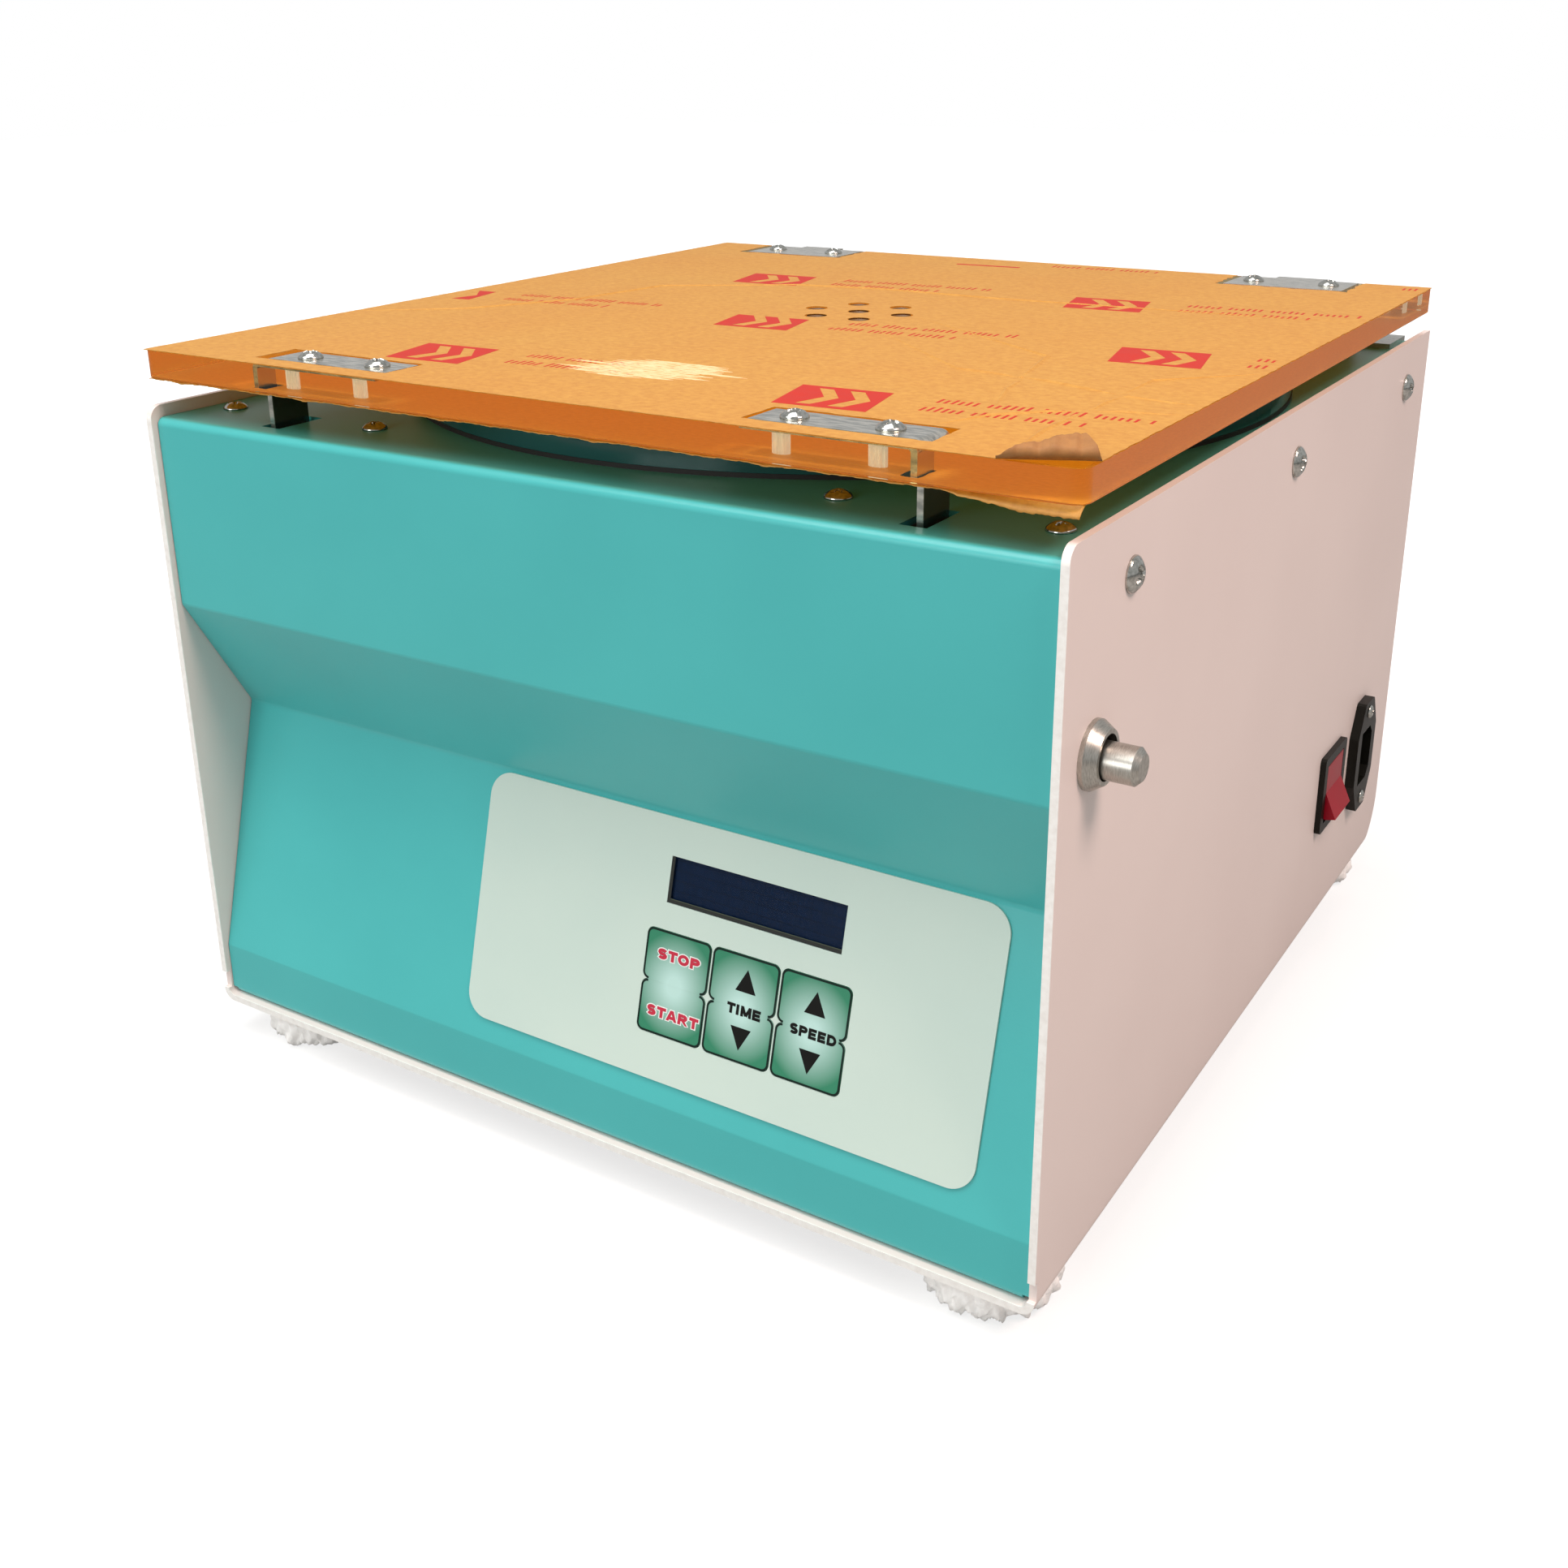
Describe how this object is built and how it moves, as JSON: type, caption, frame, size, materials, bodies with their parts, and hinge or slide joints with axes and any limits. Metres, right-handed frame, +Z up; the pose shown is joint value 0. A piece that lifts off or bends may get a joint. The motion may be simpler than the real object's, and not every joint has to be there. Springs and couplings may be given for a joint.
{
  "type": "bench centrifuge for butterfat test bottles",
  "caption": "Low square bench centrifuge with a hinged clear lid, a lid lock, a set-back keypad face and a fixed-angle rotor of inclined sleeves in a deep bowl.",
  "frame": {"origin": "on the plane the rubber feet stand on, below the rotor's axis", "axes": "+Z up along the rotor's axis, -Y towards the front with the keypad, +X to the right as seen from the front"},
  "size_m": [0.3683, 0.3826, 0.2734],
  "materials": {
    "powder_coat_white": "white powder coat",
    "powder_coat_teal": "teal powder coat",
    "acrylic": "clear cast acrylic",
    "masking_paper": "brown kraft masking paper",
    "stainless": "turned and brushed stainless",
    "zinc_steel": "bright zinc-plated screws",
    "pressed_steel": "folded zinc-plated sheet",
    "spun_bowl": "gloss enamel on spun sheet",
    "rotor_aluminium": "turned aluminium",
    "motor_paint": "black motor paint",
    "rubber": "black rubber",
    "foot_film": "crumpled white foam film",
    "overlay": "pale matt polyester overlay",
    "key_film": "green printed key film",
    "window": "clear window",
    "display": "liquid crystal display",
    "circuit_board": "circuit board",
    "black_plastic": "black moulded plastic",
    "red_plastic": "red moulded plastic"
  },
  "bodies": {
    "cabinet": {"base_shell": "powder_coat_white", "bowl": "spun_bowl", "bowl_gasket": "rubber", "chassis": "powder_coat_teal", "collar_nut": "zinc_steel", "display_module": "display", "display_window": "window", "feet": "rubber", "foot_wraps": "foot_film", "hinge_base_left": "pressed_steel", "hinge_base_right": "pressed_steel", "hinge_pins": "zinc_steel", "inlet_screws": "zinc_steel", "keypad_board": "circuit_board", "keypad_overlay": "overlay", "lid_seal": "rubber", "lid_switch": "black_plastic", "lock_collar": "stainless", "lock_guides": "pressed_steel", "motor_body": "motor_paint", "motor_bolts": "zinc_steel", "motor_isolators": "rubber", "motor_plate": "pressed_steel", "power_board": "circuit_board", "power_inlet": "black_plastic", "rear_panel": "powder_coat_white", "rocker_bezel": "black_plastic", "shaft_seal": "rubber", "side_screws": "zinc_steel", "small_screws": "zinc_steel"},
    "lid": {"lid_sheet": "acrylic", "lid_top_film": "masking_paper", "lid_bottom_film": "masking_paper", "latch_bracket_left": "pressed_steel", "latch_bracket_right": "pressed_steel", "lid_screws": "zinc_steel", "hinge_leaf_left": "pressed_steel", "hinge_leaf_right": "pressed_steel"},
    "rotor": {"rotor_head": "rotor_aluminium", "rotor_plate": "rotor_aluminium", "rotor_hub": "rotor_aluminium", "rotor_nut": "stainless", "motor_shaft": "stainless", "sleeve_1": "stainless", "sleeve_2": "stainless", "sleeve_3": "stainless", "sleeve_4": "stainless", "sleeve_5": "stainless", "sleeve_6": "stainless", "sleeve_7": "stainless", "sleeve_8": "stainless"},
    "lock": {"lock_pin": "stainless", "lock_bar": "stainless"},
    "power_switch": {"rocker": "red_plastic"},
    "key_stop": {"key_stop": "key_film"},
    "key_start": {"key_start": "key_film"},
    "key_time_up": {"key_time_up": "key_film"},
    "key_time_down": {"key_time_down": "key_film"},
    "key_speed_up": {"key_speed_up": "key_film"},
    "key_speed_down": {"key_speed_down": "key_film"}
  },
  "joints": [
    {"name": "lid_hinge", "type": "hinge", "parent": "cabinet", "child": "lid", "pos_m": [0, 0.184, 0.2665], "axis": [-1, 0, 0], "range_deg": [0, 100]},
    {"name": "rotor_spin", "type": "hinge", "parent": "cabinet", "child": "rotor", "pos_m": [0, 0, 0.15], "axis": [0, 0, 1], "continuous": true},
    {"name": "lock_slide", "type": "slide", "parent": "cabinet", "child": "lock", "axis": [-1, 0, 0], "range_m": [0, 0.0065]},
    {"name": "power_rocker", "type": "hinge", "parent": "cabinet", "child": "power_switch", "pos_m": [0.1744, 0.0965, 0.077], "axis": [0, 1, 0], "range_deg": [0, 24]},
    {"name": "stop_press", "type": "slide", "parent": "cabinet", "child": "key_stop", "axis": [0, 0.965, -0.2621], "range_m": [0, 0.0004], "stiffness_N_per_m": 800},
    {"name": "start_press", "type": "slide", "parent": "cabinet", "child": "key_start", "axis": [0, 0.965, -0.2621], "range_m": [0, 0.0004], "stiffness_N_per_m": 800},
    {"name": "time_up_press", "type": "slide", "parent": "cabinet", "child": "key_time_up", "axis": [0, 0.965, -0.2621], "range_m": [0, 0.0004], "stiffness_N_per_m": 800},
    {"name": "time_down_press", "type": "slide", "parent": "cabinet", "child": "key_time_down", "axis": [0, 0.965, -0.2621], "range_m": [0, 0.0004], "stiffness_N_per_m": 800},
    {"name": "speed_up_press", "type": "slide", "parent": "cabinet", "child": "key_speed_up", "axis": [0, 0.965, -0.2621], "range_m": [0, 0.0004], "stiffness_N_per_m": 800},
    {"name": "speed_down_press", "type": "slide", "parent": "cabinet", "child": "key_speed_down", "axis": [0, 0.965, -0.2621], "range_m": [0, 0.0004], "stiffness_N_per_m": 800}
  ]
}
